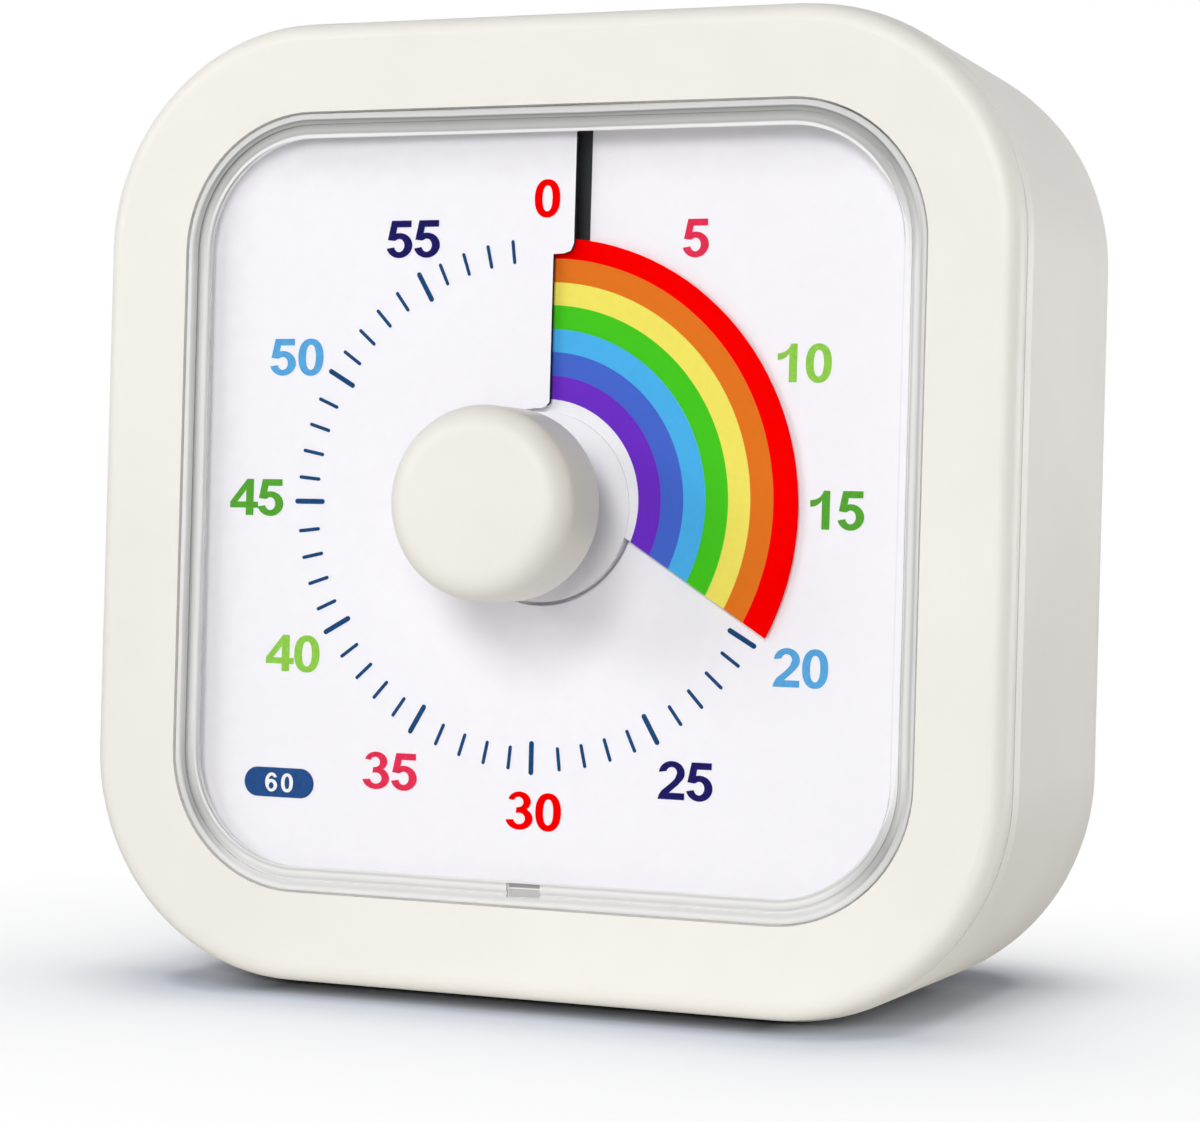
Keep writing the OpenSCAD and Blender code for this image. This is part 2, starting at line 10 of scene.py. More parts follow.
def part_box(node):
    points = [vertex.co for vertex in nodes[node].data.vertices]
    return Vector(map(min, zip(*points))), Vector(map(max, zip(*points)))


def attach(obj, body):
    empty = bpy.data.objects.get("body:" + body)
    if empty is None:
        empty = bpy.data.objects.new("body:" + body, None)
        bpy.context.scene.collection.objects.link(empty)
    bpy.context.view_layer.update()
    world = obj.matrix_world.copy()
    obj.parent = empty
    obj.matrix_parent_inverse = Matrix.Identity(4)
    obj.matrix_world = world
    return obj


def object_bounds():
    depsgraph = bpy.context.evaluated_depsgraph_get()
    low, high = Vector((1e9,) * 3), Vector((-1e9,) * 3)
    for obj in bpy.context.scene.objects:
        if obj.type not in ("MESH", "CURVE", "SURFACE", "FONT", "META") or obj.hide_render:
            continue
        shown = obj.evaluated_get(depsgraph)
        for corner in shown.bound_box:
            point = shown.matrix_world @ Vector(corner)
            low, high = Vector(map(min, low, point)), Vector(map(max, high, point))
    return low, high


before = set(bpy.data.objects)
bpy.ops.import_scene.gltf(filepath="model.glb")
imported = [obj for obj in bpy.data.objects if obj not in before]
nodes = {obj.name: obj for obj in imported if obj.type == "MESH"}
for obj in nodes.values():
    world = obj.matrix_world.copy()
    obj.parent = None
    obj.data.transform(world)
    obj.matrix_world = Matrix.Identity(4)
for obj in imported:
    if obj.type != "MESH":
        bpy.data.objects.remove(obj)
cad_low, cad_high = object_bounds()

MM = 0.001

# ---------- the dial's own frame, read from the CAD ----------
CENTRE = (cad_low.z + cad_high.z) / 2                     # height of the spindle
CARD_LOW, CARD_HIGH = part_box("dial_card")[0].y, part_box("dial_card")[1].y
CARD_T = 0.4 * MM                                         # thickness of the card
PITCH = CARD_HIGH - CARD_T - CARD_LOW                     # rise of the spiral card in one turn
LENS_FLANGE = 2.0 * MM                                    # how far the tray's flange passes its front wall
LENS_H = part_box("lens")[1].x - LENS_FLANGE                # half width of the tray's front wall
LENS_R = 12.7 * MM                                        # corner radius of the same
RIM_W = 2.15 * MM                                         # width of the clear rim
INK = 0.015 * MM                                          # print stands this far in front of the card
FLAP_TURN = 5                                             # degrees past twelve that the flap reaches

# ---------- the print ----------
DIGIT_H = 3.42 * MM                                       # height of the numerals
DIGIT_W = 0.675                                           # width of one digit, for a height of 1
DIGIT_STRETCH = 1.1                                       # the numerals are a little wide
ADVANCE = 0.777                                           # from one digit to the next, for a height of 1
WIDER = (1.035, -0.055, 28 * MM)                          # stretch at the spindle, its change so far right
BADGE_DIGIT_H, BADGE_ADVANCE = 1.75 * MM, 0.95            # the number on the badge
RED, CRIMSON, LIME, GREEN = (253, 0, 0), (232, 52, 86), (146, 208, 80), (88, 168, 55)
SKY, NAVY, TICK_BLUE, PILL_BLUE = (91, 169, 226), (35, 30, 98), (34, 74, 122), (44, 82, 140)
PILL_WHITE = (250, 250, 252)
NUMBERS = [  # minute, ink, centre right of and above the spindle in mm
    (0, RED, -0.02, 28.07), (5, CRIMSON, 14.03, 24.41), (10, LIME, 24.58, 13.20),
    (15, GREEN, 28.00, 0.24), (20, SKY, 25.08, -13.75), (25, NAVY, 14.60, -24.23),
    (30, RED, 0.00, -27.72), (35, CRIMSON, -14.52, -24.77), (40, LIME, -24.94, -14.20),
    (45, GREEN, -29.12, 0.41), (50, SKY, -25.24, 13.63), (55, NAVY, -13.40, 24.56),
]
SHORT_TICK = (22.4 * MM, 24.65 * MM, 0.33 * MM)           # inner radius, outer radius, width
LONG_TICK = (21.8 * MM, 24.95 * MM, 0.48 * MM)
LONG_LATE = 0.1                                           # the long ticks sit this part of a minute late
RING_SHIFT = (-0.45 * MM, 0.17 * MM)                      # the ring of ticks sits a little off the spindle,
RING_TURN, RING_SCALE = 0.0133, 0.986                     # turned by so many radians and made smaller
FIRST_TICK = 2                                            # film and flap cover the place of the first minute
COVERED = 24.0 * MM                                       # ticks before the setting end under the film
SETTING = 20                                              # minutes shown
PILL = (-26.05 * MM, -26.4 * MM, 7.3 * MM, 2.77 * MM)     # centre and size of the badge
BAND_RADII = (9.4 * MM, 24.3 * MM)                        # the bands begin outside a white ring
BAND_CENTRE = (0.1 * MM, 0.45 * MM)                       # and sit a little high on the film
PLAIN_R = 9.25 * MM                                       # nothing is printed nearer to the spindle
BANDS = [(113, 51, 204), (74, 107, 212), (79, 183, 244), (73, 205, 36),
         (249, 236, 104), (232, 120, 36), (255, 0, 0)]    # from the hub outwards

# ---------- plastics ----------
CREAM, CREAM_KNOB = (243, 240, 234), (241, 238, 231)
HUB_WHITE = (248, 247, 252)
EDGE_SHADE = (30, 30, 34)                                  # painted shade on the cut edges of the card in the slit
GAP_LIGHT_R = 14 * MM                                      # painted light: the plate is pale within this, lightening the gap round the hub
SHADE_WIDE = 6 * MM                                       # painted shade below the window's wall reaches so far in,
SHADE_TOP, SHADE_LEFT = 0.3, 0.15                         # by this share at the wall
RIM_WOBBLE = 0.35 * MM                                    # the painted reflections in the clear wall wander this far
PAINTED_RIM_TO = (1.03, 0.64)                                   # painted reflections and shade reach so far in, less on the right
PAINTED_RIM_COVER = (0.95, 0.9)                                 # how much it hides, outermost and at the dial
RIM_SHADE = 0.6                                           # share of that for shadows, at the dial
GATE_HALF = 1.6 * MM                                      # half width of the gate mark
GATE_DEPTHS = (0.34, 0.95)                                # where it lies across the wall
NOISE = (0.3, 0.7)                                        # nearly all noise lies between these

# Painted grey reflections and shade across the clear wall on each side of the dial, outer edge (0) to dial
# (1).
RIM_TONES = {
    "top": [(0.0, 190), (0.05, 218), (0.22, 226), (0.29, 132), (0.36, 160), (0.55, 174), (0.75, 192),
            (0.88, 182), (0.94, 248), (1.0, 250)],
    "left": [(0.0, 238), (0.14, 236), (0.2, 206), (0.3, 194), (0.42, 180), (0.52, 184), (0.62, 203),
             (0.74, 224), (0.86, 238), (0.95, 230), (1.0, 210)],
    "right": [(0.0, 224), (0.08, 226), (0.14, 206), (0.17, 194), (0.22, 206), (0.27, 222), (0.33, 234),
              (0.45, 234), (0.5, 218), (0.56, 206), (0.6, 232), (0.63, 252)],
    "bottom": [(0.0, 228), (0.12, 248), (0.28, 230), (0.45, 238), (0.6, 225), (0.8, 246), (0.92, 210),
               (1.0, 240)],
}
# The same across the gate mark.
GATE_TONES = [(0.0, 236), (0.36, 196), (0.7, 238), (0.76, 160), (0.93, 236)]
# A side's tones come in where the way outwards, less the way along the side, passes through these.
SIDE_TURNS = {"right": (2 * MM, 14 * MM), "bottom": (-5 * MM, 5 * MM), "left": (2 * MM, 14 * MM)}

# ---------- studio ----------
LAMPS = [  # name, place, width and height, watts
    ("key", (0.05, -1.0, 0.5), (0.3, 0.3), 3.4),
    ("near_camera", (0.28, -1.0, 0.25), (0.3, 0.3), 2.35),
    ("left", (-0.7, -0.75, 0.4), (0.5, 0.3), 2.6),
    ("behind_right", (0.9, 0.9, 0.12), (0.8, 0.2), 1.4),
    ("right", (0.85, 0.5, 0.1), (0.6, 0.2), 2.6),
]
ROOM_LIGHT = 0.15                                         # strength of the plain light from all round
FLOOR_HALF = 4.0                                          # half width of the floor in metres
FLOOR_COLOUR = (248, 247, 244)
FOOT = (23.8 * MM, 16.4 * MM, 8.0 * MM)                   # half width, half depth and middle of its foot
FLOOR_FAR = (222, 229, 243)                               # the painted shadow on the floor at its palest
TONE_REACH = 16 * MM                                      # share of that colour, over so far outwards:
FLOOR_PAINTED_SHADOW = [(0.25, 0.06), (0.31, 0.08), (0.41, 0.18), (0.5, 0.36), (0.6, 0.68), (0.72, 0.9), (0.81, 1.0)]
BESIDE_PAINTED_SHADOW = [(0.4, 0.52), (0.55, 0.62), (0.7, 0.76), (0.84, 1.0)]  # the same, beside the foot
BESIDE_WIDE = 8 * MM                                      # one goes over to the other in this width
BESIDE_CLOSER = 1.2 * MM                                  # and the white begins so much further out there
WHITE_REACH = 80 * MM                                     # share of white, over so far outwards:
FLOOR_WHITE = [(0.0, 0.0), (0.13, 0.0), (0.169, 0.22), (0.219, 0.48), (0.281, 0.7), (0.35, 0.8),
               (0.44, 0.87), (0.5625, 0.92), (0.75, 0.96), (1.0, 1.0)]

# ---------- camera ----------
CAMERA_PLACE = Vector((0.11188, -0.27229, 0.03999))
CAMERA_YAW, CAMERA_PITCH, CAMERA_ROLL = math.radians(22.0), math.radians(-0.05), math.radians(-1.556)
CAMERA_LENS, SENSOR_W = 93.96, 36.0                       # in mm
CAMERA_CLIP = (0.01, 50.0)


def arc(cx, cy, rx, ry, a0, a1, n=14, power=2.0):
    """Points of an elliptical arc from a0 to a1 degrees; a power above 2 squares it off."""
    pts = []
    for i in range(n + 1):
        a = math.radians(a0 + (a1 - a0) * i / n)
        c, s = math.cos(a), math.sin(a)
        pts.append((cx + rx * math.copysign(abs(c) ** (2 / power), c),
                    cy + ry * math.copysign(abs(s) ** (2 / power), s)))
    return pts


# Outlines of the digits for a height of 1: the outer loop first, then the hole.
GLYPHS = {
    "0": [arc(0.35, 0.495, 0.325, 0.51, 0, 352, 44, 2.25), arc(0.35, 0.495, 0.128, 0.345, 0, 345, 23, 2.3)],
    "1": [[(0.315, 0), (0.515, 0), (0.515, 1.0), (0.355, 1.0)] + arc(0.03, 1.06, 0.33, 0.31, -30, -92, 6)
          + [(0.025, 0.575)] + arc(0.02, 0.90, 0.33, 0.325, -70, -27, 5)],
    "2": [arc(0.345, 0.70, 0.325, 0.31, 178, -34, 24)
          + [(0.5, 0.385), (0.285, 0.178), (0.67, 0.178), (0.67, 0)]
          + [(0.0, 0), (0.03, 0.12), (0.1, 0.232), (0.3, 0.415), (0.425, 0.55)]
          + arc(0.34, 0.71, 0.133, 0.142, -28, 168, 14)],
    "3": [arc(0.325, 0.745, 0.29, 0.265, 168, -48, 22) + arc(0.325, 0.29, 0.345, 0.3, 52, -172, 26)
          + arc(0.325, 0.29, 0.148, 0.152, -170, 92, 18) + [(0.235, 0.432), (0.25, 0.585)]
          + arc(0.30, 0.73, 0.125, 0.137, -82, 160, 15)],
    "4": [[(0.41, 0), (0.605, 0), (0.605, 0.205), (0.72, 0.205), (0.72, 0.37), (0.605, 0.37), (0.605, 1.0),
           (0.435, 1.0), (0.0, 0.365), (0.0, 0.205), (0.41, 0.205)],
          [(0.41, 0.37), (0.185, 0.37), (0.41, 0.70)]],
    "5": [[(0.13, 1.0), (0.635, 1.0), (0.635, 0.82), (0.275, 0.82), (0.248, 0.655)]
          + arc(0.335, 0.325, 0.335, 0.34, 100, -166, 28) + arc(0.33, 0.325, 0.133, 0.178, -165, 128, 20)
          + [(0.2, 0.452), (0.035, 0.478)]],
    "6": [arc(0.37, 0.735, 0.28, 0.28, 8, 90, 9) + arc(0.365, 0.5, 0.35, 0.515, 95, 265, 20)
          + arc(0.345, 0.325, 0.33, 0.34, -88, 112, 22) + arc(0.40, 0.56, 0.20, 0.3, 165, 105, 6)
          + arc(0.375, 0.73, 0.098, 0.125, 75, 12, 5), arc(0.35, 0.315, 0.132, 0.178, 0, 345, 20)],
}


# ---------- material helpers ----------
def linear(rgb):
    """Linear RGBA of an sRGB colour given as 0 to 255."""
    return tuple((c / 255 / 12.92 if c <= 10 else ((c / 255 + 0.055) / 1.055) ** 2.4) for c in rgb) + (1.0,)


class Shader:
    """A small builder for node materials."""

    def __init__(self, name):
        self.mat = bpy.data.materials.new(name)
        self.mat.use_nodes = True
        self.tree = self.mat.node_tree
        self.bsdf = self.tree.nodes["Principled BSDF"]
        self.out = self.tree.nodes["Material Output"]
        self.coords = self.node("ShaderNodeTexCoord").outputs["Object"]

    def node(self, kind, **props):
        n = self.tree.nodes.new(kind)
        for k, v in props.items():
            setattr(n, k, v)
        return n

    def link(self, a, b):
        self.tree.links.new(a, b)

    def put(self, socket, value):
        """Sets a socket to a number or colour, or links it to another socket."""
        if isinstance(value, bpy.types.NodeSocket):
            self.link(value, socket)
        else:
            socket.default_value = value

    def base(self, colour):
        self.put(self.bsdf.inputs["Base Color"], colour)

    def sheen(self, rough, specular):
        self.bsdf.inputs["Roughness"].default_value = rough
        self.bsdf.inputs["Specular IOR Level"].default_value = specular

    def math(self, op, a, b=0.0):
        n = self.node("ShaderNodeMath", operation=op)
        self.put(n.inputs[0], a)
        self.put(n.inputs[1], b)
        return n.outputs[0]

    def noise(self, scale, detail=2.0, rough=0.5, stretch=(1, 1, 1)):
        m = self.node("ShaderNodeMapping")
        m.inputs["Scale"].default_value = stretch
        self.link(self.coords, m.inputs["Vector"])
        n = self.node("ShaderNodeTexNoise")
        self.link(m.outputs[0], n.inputs["Vector"])
        n.inputs["Scale"].default_value = scale
        n.inputs["Detail"].default_value = detail
        n.inputs["Roughness"].default_value = rough
        return n.outputs["Fac"]

    def ramp(self, fac, stops, interpolation="LINEAR"):
        n = self.node("ShaderNodeValToRGB")
        n.color_ramp.interpolation = interpolation
        while len(n.color_ramp.elements) < len(stops):
            n.color_ramp.elements.new(0.5)
        for element, (place, colour) in zip(n.color_ramp.elements, stops):
            element.position = place
            element.color = colour
        self.link(fac, n.inputs["Fac"])
        return n.outputs["Color"]

    def greys(self, fac, tones, interpolation="LINEAR"):
        """A ramp of greys given as 0 to 255."""
        return self.ramp(fac, [(place, linear((g, g, g))) for place, g in tones], interpolation)

    def blend(self, share, a, b, kind="MIX"):
        """Colour a, going over to colour b as the share rises to 1."""
        n = self.node("ShaderNodeMix", data_type="RGBA", blend_type=kind)
        for socket, value in ((0, share), (6, a), (7, b)):
            self.put(n.inputs[socket], value)
        return n.outputs[2]

    def mix(self, share, a, b):
        """Surface a, going over to surface b as the share rises to 1."""
        n = self.node("ShaderNodeMixShader")
        for socket, value in enumerate((share, a, b)):
            self.put(n.inputs[socket], value)
        return n.outputs[0]

    def tint(self, rgb, amount, fac):
        """The colour, a little lighter and darker by turns."""
        low = tuple(c * (1 - amount) for c in rgb)
        high = tuple(min(255, c * (1 + amount)) for c in rgb)
        return self.ramp(fac, list(zip(NOISE, (linear(low), linear(high)))))

    def bump(self, height, strength, distance):
        n = self.node("ShaderNodeBump")
        n.inputs["Strength"].default_value = strength
        n.inputs["Distance"].default_value = distance
        self.link(height, n.inputs["Height"])
        self.link(n.outputs[0], self.bsdf.inputs["Normal"])

    def span(self, value, low, high, to_low=0.0, to_high=1.0):
        """The value, with low to high drawn onto to_low to to_high and held at those ends."""
        n = self.node("ShaderNodeMapRange")
        ends = {"Value": value, "From Min": low, "From Max": high, "To Min": to_low, "To Max": to_high}
        for key, v in ends.items():
            self.put(n.inputs[key], v)
        return n.outputs["Result"]

    def radius(self, x, z):
        return self.math("SQRT", self.math("ADD", self.math("MULTIPLY", x, x), self.math("MULTIPLY", z, z)))

    def axes(self):
        """The three object coordinates, with the height counted from the spindle."""
        n = self.node("ShaderNodeSeparateXYZ")
        self.link(self.coords, n.inputs[0])
        return n.outputs["X"], n.outputs["Y"], self.math("SUBTRACT", n.outputs["Z"], CENTRE)


def mould_marks(s, rough, spread, texture):
    """Uneven gloss and the fine spark texture of a mould."""
    s.put(s.bsdf.inputs["Roughness"], s.span(s.noise(260, 2), *NOISE, rough - spread, rough + spread))
    s.bump(s.noise(3800, 2, 0.6), texture, 0.02 * MM)


def moulded(name, rgb, rough=0.45, grain=0.012, texture=0.10):
    """Injection-moulded plastic, with a faint flow in the colour."""
    s = Shader(name)
    s.base(s.tint(rgb, grain, s.noise(45, 3)))
    s.bsdf.inputs["Specular IOR Level"].default_value = 0.4
    mould_marks(s, rough, 0.024, texture)
    return s.mat


def metal(name, rgb, rough=0.28, brushed=(1, 1, 30), scale=900):
    """Drawn or turned metal with fine lines along one axis."""
    s = Shader(name)
    lines = s.noise(scale, 3, 0.6, brushed)
    s.base(s.tint(rgb, 0.06, lines))
    s.put(s.bsdf.inputs["Roughness"], s.span(lines, *NOISE, rough - 0.06, rough + 0.08))
    s.bsdf.inputs["Metallic"].default_value = 1.0
    s.bump(lines, 0.15, 0.01 * MM)
    return s.mat


def ink(name, rgb):
    """Screen-printed ink: slightly uneven cover and no sheen."""
    s = Shader(name)
    s.base(s.tint(rgb, 0.035, s.noise(2200, 2)))
    s.sheen(0.6, 0.0)
    s.bump(s.noise(5000, 2), 0.05, 0.01 * MM)
    return s.mat


def card_stock(name, rgb):
    """White coated card: faint fibre, painted shade on its cut edges and below the top and left of the
    window.
    """
    s = Shader(name)
    x, _, z = s.axes()
    normal = s.node("ShaderNodeSeparateXYZ")
    s.link(s.node("ShaderNodeTexCoord").outputs["Normal"], normal.inputs[0])
    # faces turned sideways, the cut edges, are painted dark as shade
    edge_shade = s.math("LESS_THAN", s.math("ABSOLUTE", normal.outputs["Y"]), 0.5)
    edge_shade = s.math("MULTIPLY", edge_shade, s.math("GREATER_THAN", s.radius(x, z), PLAIN_R))
    face = s.tint(rgb, 0.006, s.noise(600, 4))
    # painted shade below the top and left of the window
    for out, depth in ((z, SHADE_TOP), (s.math("MULTIPLY", x, -1.0), SHADE_LEFT)):
        near = s.span(s.math("SUBTRACT", LENS_H - RIM_W, out), 0.0, SHADE_WIDE, 1.0, 0.0)
        shade = s.math("MULTIPLY", s.math("MULTIPLY", near, near), depth)
        face = s.blend(shade, face, (0, 0, 0, 1))
    s.base(s.blend(edge_shade, face, linear(EDGE_SHADE)))
    s.sheen(0.6, 0.15)
    s.bump(s.noise(2600, 4, 0.7, (1, 1, 0.3)), 0.08, 0.01 * MM)
    return s.mat


def chassis(name, dark, pale):
    """Moulded plate, dark behind the slit as painted shade and pale round the spindle as painted light in
    the gap.
    """
    s = Shader(name)
    x, _, z = s.axes()
    flow = s.noise(45, 3)
    # pale near the spindle is painted light in the gap round the hub; dark elsewhere is painted shade in the
    # slit
    in_gap_light = s.math("LESS_THAN", s.radius(x, z), GAP_LIGHT_R)
    s.base(s.blend(in_gap_light, s.tint(dark, 0.012, flow), s.tint(pale, 0.012, flow)))
    mould_marks(s, 0.5, 0.02, 0.1)
    return s.mat


def rainbow():
    """Seven printed bands from the hub outwards, with slightly uneven cover."""
    s = Shader("film_rainbow")
    x, _, z = s.axes()
    r = s.radius(*(s.math("SUBTRACT", v, c) for v, c in zip((x, z), BAND_CENTRE)))
    stops = [(i / len(BANDS), linear(c)) for i, c in enumerate(BANDS)]
    bands = s.ramp(s.span(r, *BAND_RADII), stops, "CONSTANT")
    near_hub = s.math("LESS_THAN", s.radius(x, z), PLAIN_R)
    plain = s.math("MAXIMUM", s.math("LESS_THAN", r, BAND_RADII[0]), near_hub)
    bands = s.blend(plain, bands, linear(HUB_WHITE))
    cover = s.ramp(s.noise(1800, 2), list(zip(NOISE, ((0.97, 0.97, 0.97, 1), (1, 1, 1, 1)))))
    s.base(s.blend(1.0, bands, cover, "MULTIPLY"))
    s.sheen(0.6, 0.0)
    s.bump(s.noise(3000, 2), 0.04, 0.01 * MM)
    return s.mat


def clear_tray():
    """Clear moulded window: invisible over the dial, with painted grey reflections and shade on the wall
    round it.
    """
    s = Shader("window_clear")
    x, _, z = s.axes()
    left_of, below = s.math("MULTIPLY", x, -1.0), s.math("MULTIPLY", z, -1.0)

    # depth across the wall, 0 at its outer edge and 1 at the dial
    core = LENS_H - LENS_R
    past_x = s.math("SUBTRACT", s.math("ABSOLUTE", x), core)
    past_z = s.math("SUBTRACT", s.math("ABSOLUTE", z), core)
    outside = s.radius(s.math("MAXIMUM", past_x, 0.0), s.math("MAXIMUM", past_z, 0.0))
    inside = s.math("MINIMUM", s.math("MAXIMUM", past_x, past_z), 0.0)
    edge = s.math("SUBTRACT", s.math("ADD", outside, inside), LENS_R)
    wobble = s.math("MULTIPLY", s.math("SUBTRACT", s.noise(60, 3), 0.5), RIM_WOBBLE)
    depth_in = s.math("DIVIDE", s.math("MULTIPLY", s.math("ADD", edge, wobble), -1.0), RIM_W)

    # painted reflections and shade, which go over from one side to the next at the corners, and the gate
    # mark
    painted_rim_look = s.greys(depth_in, RIM_TONES["top"])
    on_side = {}
    for side, out, along in (("right", x, z), ("bottom", below, x), ("left", left_of, z)):
        on_side[side] = s.span(s.math("SUBTRACT", out, s.math("ABSOLUTE", along)), *SIDE_TURNS[side])
        painted_rim_look = s.blend(on_side[side], painted_rim_look, s.greys(depth_in, RIM_TONES[side]))
    at_gate = s.math("LESS_THAN", s.math("ABSOLUTE", x), GATE_HALF)
    for limit in (s.math("LESS_THAN", z, 0.0), s.math("GREATER_THAN", depth_in, GATE_DEPTHS[0]),
                  s.math("LESS_THAN", depth_in, GATE_DEPTHS[1])):
        at_gate = s.math("MULTIPLY", at_gate, limit)
    s.base(s.blend(at_gate, painted_rim_look, s.greys(depth_in, GATE_TONES, "CONSTANT")))
    s.sheen(0.12, 0.5)
    s.bump(s.noise(220, 3), 0.25, 0.05 * MM)

    # the clear pane over the dial
    clear = s.node("ShaderNodeBsdfTransparent")
    gloss = s.node("ShaderNodeBsdfGlossy")
    gloss.inputs["Roughness"].default_value = 0.08
    fresnel = s.node("ShaderNodeFresnel")
    fresnel.inputs["IOR"].default_value = 1.04
    pane = s.mix(fresnel.outputs[0], clear.outputs[0], gloss.outputs[0])

    # how much the painted wall hides, and how little shadow and bounced light it stops
    painted_rim_to = s.span(on_side["right"], 0.0, 1.0, *PAINTED_RIM_TO)
    in_rim = s.math("LESS_THAN", s.math("MULTIPLY", edge, -1.0 / RIM_W), painted_rim_to)
    cover = s.math("MULTIPLY", in_rim, s.span(depth_in, 0.0, 1.0, *PAINTED_RIM_COVER))
    path = s.node("ShaderNodeLightPath")
    passing = s.math("MAXIMUM", path.outputs["Is Shadow Ray"], path.outputs["Is Diffuse Ray"])
    stopped = s.span(depth_in, 0.0, 1.0, 0.0, RIM_SHADE)
    cover = s.math("MULTIPLY", cover, s.span(passing, 0.0, 1.0, 1.0, stopped))
    s.link(s.mix(cover, pane, s.bsdf.outputs[0]), s.out.inputs["Surface"])
    return s.mat


# ---------- materials of the CAD nodes ----------
dressing = {
    moulded("case_cream", CREAM): ["front_bezel"],
    moulded("case_cream_rear", CREAM): ["rear_shell", "battery_door"],
    moulded("knob_cream", CREAM_KNOB, 0.42): ["knob"],
    clear_tray(): ["lens"],
    card_stock("card_white", (249, 248, 254)): ["dial_card"],
    moulded("ramp_white", (236, 238, 242), 0.5): ["dial_ramp"],
    rainbow(): ["rainbow_film"],
    moulded("hub_white", HUB_WHITE, 0.5): ["film_hub"],
    metal("spindle_steel", (196, 197, 200), 0.25, (1, 40, 1)): ["spindle"],
    moulded("wheel_acetal", (232, 228, 210), 0.35, 0.03): ["centre_wheel", "third_wheel", "fourth_wheel"],
    metal("spring_brass", (205, 164, 88), 0.3): ["clutch_spring"],
    metal("rotor_magnet", (92, 94, 98), 0.45): ["rotor"],
    chassis("chassis_grey", (38, 40, 44), (200, 200, 202)): ["chassis_plate"],
    moulded("movement_white", (240, 240, 238), 0.4): ["movement_front", "movement_rear"],
    metal("screw_steel", (170, 172, 176), 0.32, (1, 1, 1), 2400): ["movement_screws", "case_screws"],
    moulded("board_green", (44, 118, 66), 0.35, 0.05, 0.2): ["circuit_board"],
    moulded("chip_black", (30, 30, 32), 0.25): ["timer_chip"],
    metal("crystal_can", (200, 204, 208), 0.2, (30, 1, 1)): ["quartz_crystal"],
    metal("stator_iron", (150, 154, 158), 0.4, (1, 1, 1), 1500): ["stator"],
    metal("coil_copper", (196, 110, 66), 0.35, (1, 1, 60), 1200): ["motor_coil"],
    moulded("buzzer_black", (36, 36, 38), 0.5): ["buzzer"],
    moulded("switch_black", (44, 45, 48), 0.45): ["switch_body"],
    moulded("switch_grey", (92, 94, 98), 0.4): ["sound_switch"],
    moulded("cell_jacket", (60, 112, 88), 0.25, 0.04): ["aa_cell"],
    metal("contact_nickel", (206, 208, 212), 0.22): ["contact_positive", "contact_negative"],
}
for material, names in dressing.items():
    for name in names:
        mesh = nodes[name].data
        mesh.materials.clear()
        mesh.materials.append(material)


# ---------- the print on the card ----------
def on_card(x, z):
    """A point just in front of the spiral card, from its place beside and above the spindle."""
    turn = math.degrees(math.atan2(x, z)) % 360
    if turn < FLAP_TURN:
        turn += 360                                       # on the flap, the high side of the slit
    return Vector((x, CARD_HIGH - CARD_T - PITCH * turn / 360 - INK, CENTRE + z))


def printed(name, shapes, material, lift=0.0):
    """One piece of print: shapes of an outer loop and its holes, in metres beside and above the spindle."""
    verts, faces = [], []
    for loops in shapes:
        corners = [[Vector((x, z, 0)) for x, z in loop] for loop in loops]
        base = len(verts)
        for loop in loops:
            verts += [on_card(x, z) - Vector((0, lift, 0)) for x, z in loop]
        for a, b, c in tessellate_polygon(corners):
            pa, pb, pc = (verts[base + i] for i in (a, b, c))
            facing = (pb - pa).cross(pc - pa).y < 0
            faces.append((base + a, base + b, base + c) if facing else (base + a, base + c, base + b))
    mesh = bpy.data.meshes.new(name)
    mesh.from_pydata(verts, [], faces)
    mesh.materials.append(material)
    piece = bpy.data.objects.new(name, mesh)
    bpy.context.scene.collection.objects.link(piece)
    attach(piece, "case")


def number(text, cx, cz, height, advance=ADVANCE, stretch=1.0):
    """The loops of a number centred on a point."""
    wide = height * stretch
    width = wide * (advance * (len(text) - 1) + DIGIT_W * DIGIT_STRETCH)
    left, low = cx - width / 2, cz - height / 2
    return [[[(left + wide * (advance * i + DIGIT_STRETCH * u), low + height * v) for u, v in loop]
             for loop in GLYPHS[ch]] for i, ch in enumerate(text)]


def tick(minute, inner, outer, width):
    """A mark with round ends, pointing at the middle of the ring."""
    a = math.radians(6 * minute)
    sin_a, cos_a = math.sin(a), math.cos(a)
    r = width / 2
    shape = ([(outer - r + q, p) for p, q in arc(0, 0, r, r, 0, 180, 6)]
             + [(inner + r + q, p) for p, q in arc(0, 0, r, r, 180, 360, 6)])
    flat = [(d * sin_a + w * cos_a, d * cos_a - w * sin_a) for d, w in shape]
    shift_x, shift_z = RING_SHIFT
    return [[(shift_x + RING_SCALE * (x - RING_TURN * z), shift_z + RING_SCALE * (z + RING_TURN * x))
             for x, z in flat]]


inks = {}
for minute, colour, x, z in NUMBERS:
    if colour not in inks:
        inks[colour] = ink("ink_%d" % len(inks), colour)
    stretch = WIDER[0] + WIDER[1] * x * MM / WIDER[2]
    numeral = number(str(minute), x * MM, z * MM, DIGIT_H, ADVANCE, stretch)
    printed("number_%02d" % minute, numeral, inks[colour])

tick_ink = ink("ink_ticks", TICK_BLUE)
short_minutes = [m for m in range(FIRST_TICK, 60) if m % 5]
for name, (inner, outer, width), late, minutes in (("ticks_minute", SHORT_TICK, 0.0, short_minutes),
                                                   ("ticks_five", LONG_TICK, LONG_LATE, range(5, 60, 5))):
    marks = [tick(m + late, inner, outer if m >= SETTING else COVERED, width) for m in minutes]
    printed(name, marks, tick_ink)

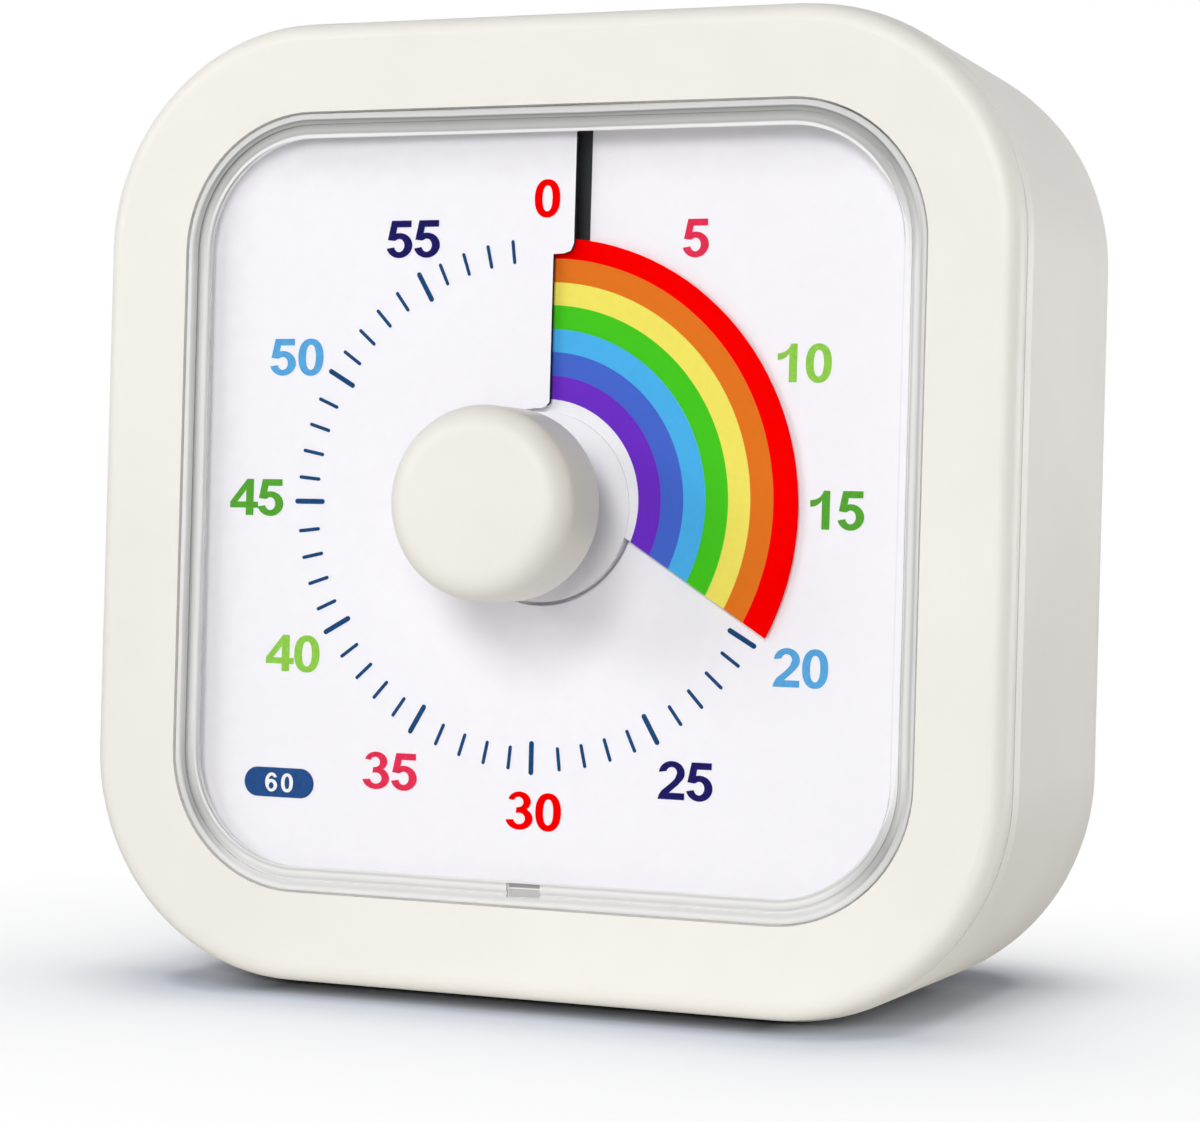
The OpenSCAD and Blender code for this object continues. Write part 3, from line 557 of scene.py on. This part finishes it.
pill_x, pill_z, pill_w, pill_h = PILL
pill_end = pill_w / 2 - pill_h / 2                        # from its middle to the centre of a round end
pill = [[(pill_x + side * pill_end + u, pill_z + v) for side, a0 in ((1, -90), (-1, 90))
         for u, v in arc(0, 0, pill_h / 2, pill_h / 2, a0, a0 + 180, 16)]]
printed("badge", [pill], ink("ink_badge", PILL_BLUE))
sixty = number("60", pill_x, pill_z, BADGE_DIGIT_H, BADGE_ADVANCE)
printed("badge_number", sixty, ink("ink_white", PILL_WHITE), lift=INK)


# ---------- studio and camera ----------
def lamp(name, place, size, power):
    """A rectangular lamp, aimed at the middle of the timer."""
    data = bpy.data.lights.new(name, "AREA")
    data.shape = "RECTANGLE"
    data.size, data.size_y = size
    data.energy = power
    holder = bpy.data.objects.new(name, data)
    holder.location = place
    holder.rotation_euler = (Vector((0, 0, CENTRE)) - Vector(place)).to_track_quat("-Z", "Y").to_euler()
    bpy.context.scene.collection.objects.link(holder)


def backdrop():
    """A white room: plain light on the object, plain white where the camera looks past it."""
    world = bpy.data.worlds.new("studio")
    bpy.context.scene.world = world
    world.use_nodes = True
    tree = world.node_tree
    sky = tree.nodes["Background"]
    sky.inputs["Color"].default_value = (1, 1, 1, 1)
    sky.inputs["Strength"].default_value = ROOM_LIGHT
    white = tree.nodes.new("ShaderNodeBackground")
    white.inputs["Color"].default_value = (1, 1, 1, 1)
    white.inputs["Strength"].default_value = 1.0
    path = tree.nodes.new("ShaderNodeLightPath")
    mix = tree.nodes.new("ShaderNodeMixShader")
    seen = path.outputs["Is Camera Ray"]
    for other in ("Is Glossy Ray", "Is Transmission Ray"):
        add = tree.nodes.new("ShaderNodeMath")
        add.operation = "MAXIMUM"
        tree.links.new(seen, add.inputs[0])
        tree.links.new(path.outputs[other], add.inputs[1])
        seen = add.outputs[0]
    tree.links.new(seen, mix.inputs[0])
    tree.links.new(sky.outputs[0], mix.inputs[1])
    tree.links.new(white.outputs[0], mix.inputs[2])
    tree.links.new(mix.outputs[0], tree.nodes["World Output"].inputs["Surface"])


def floor():
    """A pale floor with a painted soft bluish shadow round the foot, over its real shadow."""
    half = FLOOR_HALF
    mesh = bpy.data.meshes.new("floor")
    mesh.from_pydata([(-half, -half, 0), (half, -half, 0), (half, half, 0), (-half, half, 0)], [],
                     [(0, 1, 2, 3)])
    ground = bpy.data.objects.new("floor", mesh)
    ground.location.z = cad_low.z
    bpy.context.scene.collection.objects.link(ground)

    # how far a point is outside the foot, and whether it lies beside it
    s = Shader("floor_white")
    x, y, _ = s.axes()
    half_width, half_depth, middle = FOOT
    y = s.math("SUBTRACT", y, middle)
    away = s.radius(*(s.math("MAXIMUM", s.math("SUBTRACT", s.math("ABSOLUTE", v), half_foot), 0.0)
                      for v, half_foot in ((x, half_width), (y, half_depth))))
    beside = s.span(s.math("ABSOLUTE", x), half_width, half_width + BESIDE_WIDE)

    # the painted shadow that the camera sees, over the plain colour that lights the timer from below
    from_foot = s.span(away, 0.0, TONE_REACH)
    far = linear(FLOOR_FAR)[:3]
    front, sides = (s.ramp(from_foot, [(place, tuple(v * c for c in far) + (1,)) for place, v in tones])
                    for tones in (FLOOR_PAINTED_SHADOW, BESIDE_PAINTED_SHADOW))
    path = s.node("ShaderNodeLightPath")
    plain = s.tint(FLOOR_COLOUR, 0.004, s.noise(3, 2))
    s.base(s.blend(path.outputs["Is Camera Ray"], plain, s.blend(beside, front, sides)))
    s.sheen(0.7, 0.1)

    # and the white further out
    away = s.math("SUBTRACT", away, s.math("MULTIPLY", beside, BESIDE_CLOSER))
    white = s.ramp(s.span(away, 0.0, WHITE_REACH), [(place, (v, v, v, 1)) for place, v in FLOOR_WHITE])
    glow = s.node("ShaderNodeEmission")
    share = s.math("MULTIPLY", path.outputs["Is Camera Ray"], white)
    s.link(s.mix(share, s.bsdf.outputs[0], glow.outputs[0]), s.out.inputs["Surface"])
    mesh.materials.append(s.mat)


def camera():
    data = bpy.data.cameras.new("camera")
    data.lens, data.sensor_width = CAMERA_LENS, SENSOR_W
    data.clip_start, data.clip_end = CAMERA_CLIP
    cam = bpy.data.objects.new("camera", data)
    bpy.context.scene.collection.objects.link(cam)
    ahead = Vector((-math.sin(CAMERA_YAW) * math.cos(CAMERA_PITCH),
                    math.cos(CAMERA_YAW) * math.cos(CAMERA_PITCH),
                    -math.sin(CAMERA_PITCH)))
    level = Vector((math.cos(CAMERA_YAW), math.sin(CAMERA_YAW), 0))
    down = ahead.cross(level)
    right = level * math.cos(CAMERA_ROLL) + down * math.sin(CAMERA_ROLL)
    up = right.cross(ahead)
    matrix = cam.matrix_world.copy()
    for column, axis in enumerate((right, up, -ahead, CAMERA_PLACE)):
        for row in range(3):
            matrix[row][column] = axis[row]
    cam.matrix_world = matrix
    bpy.context.scene.camera = cam


for name, place, size, power in LAMPS:
    lamp(name, place, size, power)
backdrop()
floor()
camera()
bpy.context.scene.view_settings.view_transform = "Standard"
